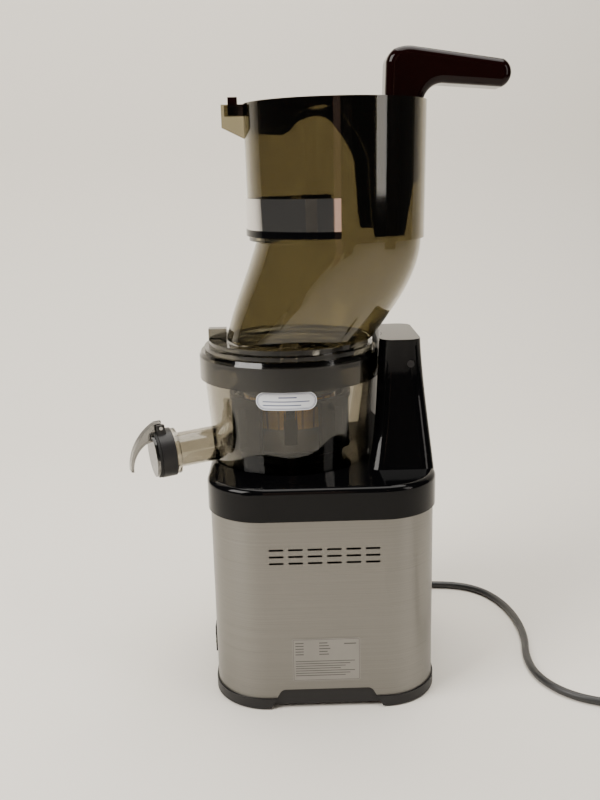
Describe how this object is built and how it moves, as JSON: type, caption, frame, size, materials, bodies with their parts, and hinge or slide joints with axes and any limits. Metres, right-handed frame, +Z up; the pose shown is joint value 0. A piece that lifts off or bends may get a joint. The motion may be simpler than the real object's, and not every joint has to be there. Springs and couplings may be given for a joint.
{
  "type": "vertical auger juicer",
  "caption": "Counter-top auger juicer: brushed base with tower, clear bowl with spout, elbow hopper, pusher and power cord.",
  "frame": {"origin": "middle of the base on the surface it stands on, within 3 mm of the middle of the box around the machine without its cord", "axes": "+Z up, +X towards the tower and the pusher's handle, -X the side of the juice spout and the switch"},
  "size_m": [0.5214, 0.3844, 0.5422],
  "materials": {
    "black_plastic": "matte moulded",
    "rubber_black": "matte",
    "screw_steel": "zinc plated",
    "sleeve_steel": "horizontal brushed",
    "piano_black": "high gloss",
    "plate_film": "printed film",
    "stator_iron": "laminated",
    "copper_wire": "enamelled",
    "bracket_alloy": "cast",
    "bearing_steel": "ground",
    "gear_nylon": "moulded",
    "gear_steel": "machined",
    "board_green": "solder mask",
    "part_blue": "moulded",
    "smoky_clear": "clear smoke tint",
    "smoky_grey": "dark smoke tint",
    "olive_smoke": "olive brown tint",
    "clear_grey": "clear grey",
    "label_white": "blank film",
    "amber_resin": "amber",
    "wiper_black": "satin",
    "auger_resin": "satin",
    "silicone_black": "soft",
    "chrome_trim": "mirror",
    "pusher_red": "deep red-black tint",
    "cord_black": "satin"
  },
  "bodies": {
    "base": {"base_tray": "black_plastic", "rubber_feet": "rubber_black", "tray_screws": "screw_steel", "steel_sleeve": "sleeve_steel", "top_cover": "piano_black", "tower_screw_caps": "black_plastic", "rating_plate": "plate_film", "switch_bezel": "black_plastic", "stator": "stator_iron", "winding_low": "copper_wire", "winding_high": "copper_wire", "motor_bracket_low": "bracket_alloy", "motor_bracket_high": "bracket_alloy", "motor_bearing_low": "bearing_steel", "motor_bearing_high": "bearing_steel", "gearbox_housing": "bracket_alloy", "gearbox_cover": "bracket_alloy", "gearbox_screws": "screw_steel", "output_bearing": "bearing_steel", "shaft_seal": "rubber_black", "control_board": "board_green", "board_screws": "screw_steel", "capacitor": "part_blue", "relay": "part_blue", "interlock_switch": "black_plastic", "cord_gland": "rubber_black", "cord_lead": "cord_black", "cord_coil": "cord_black", "cord_run": "cord_black", "coil_tie": "rubber_black", "plug_body": "cord_black", "plug_pins": "bearing_steel"},
    "rotor": {"rotor_core": "stator_iron", "motor_shaft": "gear_steel", "cooling_fan": "black_plastic"},
    "lay_train": {"layshaft": "gear_steel", "lay_gear": "gear_nylon"},
    "output": {"output_gear": "gear_steel", "output_shaft": "gear_steel"},
    "rocker": {"rocker_button": "black_plastic"},
    "bowl_set": {"bowl": "smoky_clear", "idler_pin": "screw_steel", "bowl_label": "label_white", "cap_ring": "black_plastic", "hinge_pin": "screw_steel", "strainer": "amber_resin", "strainer_collar": "smoky_grey"},
    "auger_set": {"auger": "auger_resin"},
    "idler": {"idler_gear": "gear_nylon"},
    "wiper": {"wiper_frame": "wiper_black", "wiper_blades": "silicone_black"},
    "cap": {"cap_door": "clear_grey", "cap_seal": "silicone_black"},
    "lid": {"lid_ring": "smoky_grey", "lid_gasket": "silicone_black", "hopper": "olive_smoke", "chrome_band": "chrome_trim", "band_lip": "piano_black"},
    "pusher_set": {"pusher": "pusher_red", "pusher_handle": "pusher_red"}
  },
  "joints": [
    {"name": "output_spin", "type": "hinge", "parent": "base", "child": "output", "pos_m": [-0.025, 0, 0.15], "axis": [0, 0, 1], "continuous": true},
    {"name": "lay_spin", "type": "hinge", "parent": "base", "child": "lay_train", "pos_m": [0.00482, 0.03167, 0.13], "axis": [0, 0, 1], "continuous": true},
    {"name": "rotor_spin", "type": "hinge", "parent": "base", "child": "rotor", "pos_m": [0.035, 0, 0.07], "axis": [0, 0, 1], "continuous": true},
    {"name": "bowl_lift", "type": "slide", "parent": "base", "child": "bowl_set", "axis": [0, 0, 1], "range_m": [0, 0.12]},
    {"name": "auger_spin", "type": "hinge", "parent": "bowl_set", "child": "auger_set", "pos_m": [-0.025, 0, 0.24], "axis": [0, 0, 1], "continuous": true},
    {"name": "idler_spin", "type": "hinge", "parent": "bowl_set", "child": "idler", "pos_m": [-0.011, 0.02425, 0.203], "axis": [0, 0, 1], "continuous": true},
    {"name": "wiper_spin", "type": "hinge", "parent": "bowl_set", "child": "wiper", "pos_m": [-0.025, 0, 0.23], "axis": [0, 0, 1], "continuous": true},
    {"name": "cap_flip", "type": "hinge", "parent": "bowl_set", "child": "cap", "pos_m": [-0.13816, -0.04119, 0.23623], "axis": [-0.342, 0.9397, 0], "range_deg": [0, 85]},
    {"name": "lid_turn", "type": "hinge", "parent": "bowl_set", "child": "lid", "pos_m": [-0.025, 0, 0.28], "axis": [0, 0, 1], "range_deg": [0, 30]},
    {"name": "pusher_lift", "type": "slide", "parent": "lid", "child": "pusher_set", "axis": [0, 0, 1], "range_m": [0, 0.13]},
    {"name": "rocker_tilt", "type": "hinge", "parent": "base", "child": "rocker", "pos_m": [-0.095, -0.044, 0.04], "axis": [0, 1, 0], "range_deg": [-8, 8]}
  ],
  "couplings": [
    {"joint": "lay_spin", "follows": "output_spin", "ratio": -4.8},
    {"joint": "rotor_spin", "follows": "output_spin", "ratio": 28.8},
    {"joint": "auger_spin", "follows": "output_spin", "ratio": 1},
    {"joint": "idler_spin", "follows": "output_spin", "ratio": -1.3333},
    {"joint": "wiper_spin", "follows": "output_spin", "ratio": -0.4}
  ]
}
